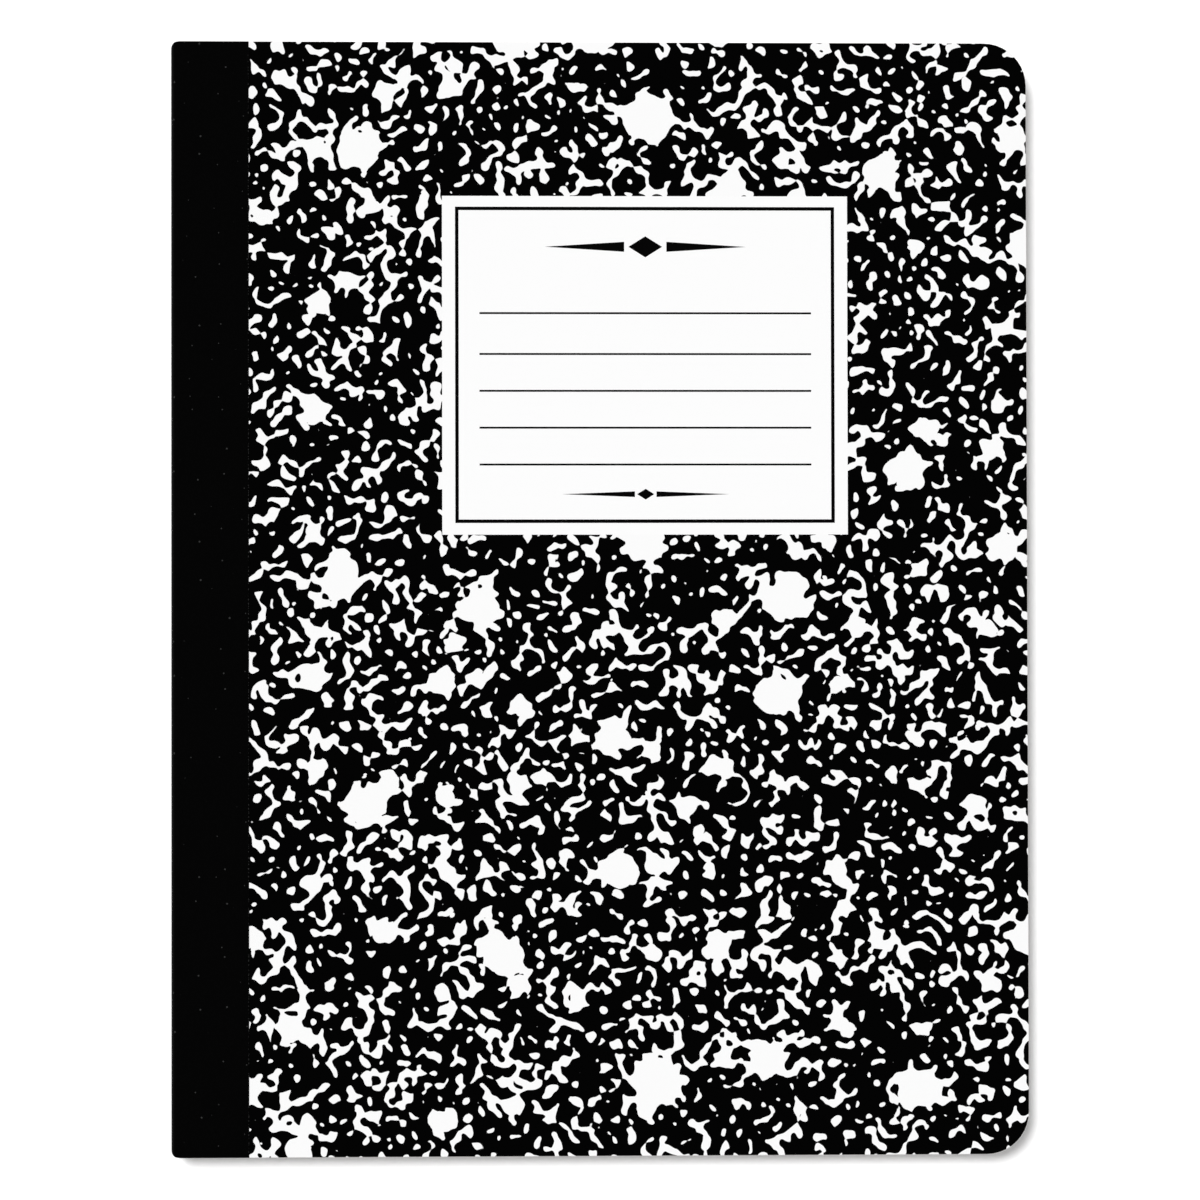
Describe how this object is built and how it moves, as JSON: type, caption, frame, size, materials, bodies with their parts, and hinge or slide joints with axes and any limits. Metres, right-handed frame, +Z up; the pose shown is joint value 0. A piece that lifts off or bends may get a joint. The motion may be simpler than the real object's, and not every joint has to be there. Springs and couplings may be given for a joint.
{
  "type": "composition notebook",
  "caption": "Sewn composition notebook with marbled board covers, a cloth spine tape, a title panel and rounded fore-edge corners; both covers open.",
  "frame": {"origin": "middle of the rectangle that the closed book covers on the table, at the level of its lowest face", "axes": "+X from the spine to the fore-edge, +Y towards the head, +Z up out of the front cover"},
  "size_m": [0.1906, 0.2476, 0.0103],
  "materials": {
    "front_cover_board": "black and white marbled print on board, varnished",
    "back_cover_board": "black and white marbled print on board, varnished",
    "cover_spine_board": "plain uncoated board",
    "pages": "uncoated ruled writing paper",
    "tape_cloth": "fine black book cloth, low sheen",
    "thread": "twisted white sewing thread"
  },
  "bodies": {
    "pages": {"page_block": "pages", "cover_spine": "cover_spine_board", "spine_tape": "tape_cloth", "needle_thread": "thread", "bobbin_thread": "thread"},
    "front": {"front_cover": "front_cover_board"},
    "back": {"back_cover": "back_cover_board"}
  },
  "joints": [
    {"name": "front_cover_hinge", "type": "hinge", "parent": "pages", "child": "front", "pos_m": [-0.09425, 0, 0.00975], "axis": [0, -1, 0], "range_deg": [0, 179], "deforming": ["spine_tape"]},
    {"name": "back_cover_hinge", "type": "hinge", "parent": "pages", "child": "back", "pos_m": [-0.09425, 0, 0.00055], "axis": [0, 1, 0], "range_deg": [0, 179], "deforming": ["spine_tape"]}
  ]
}
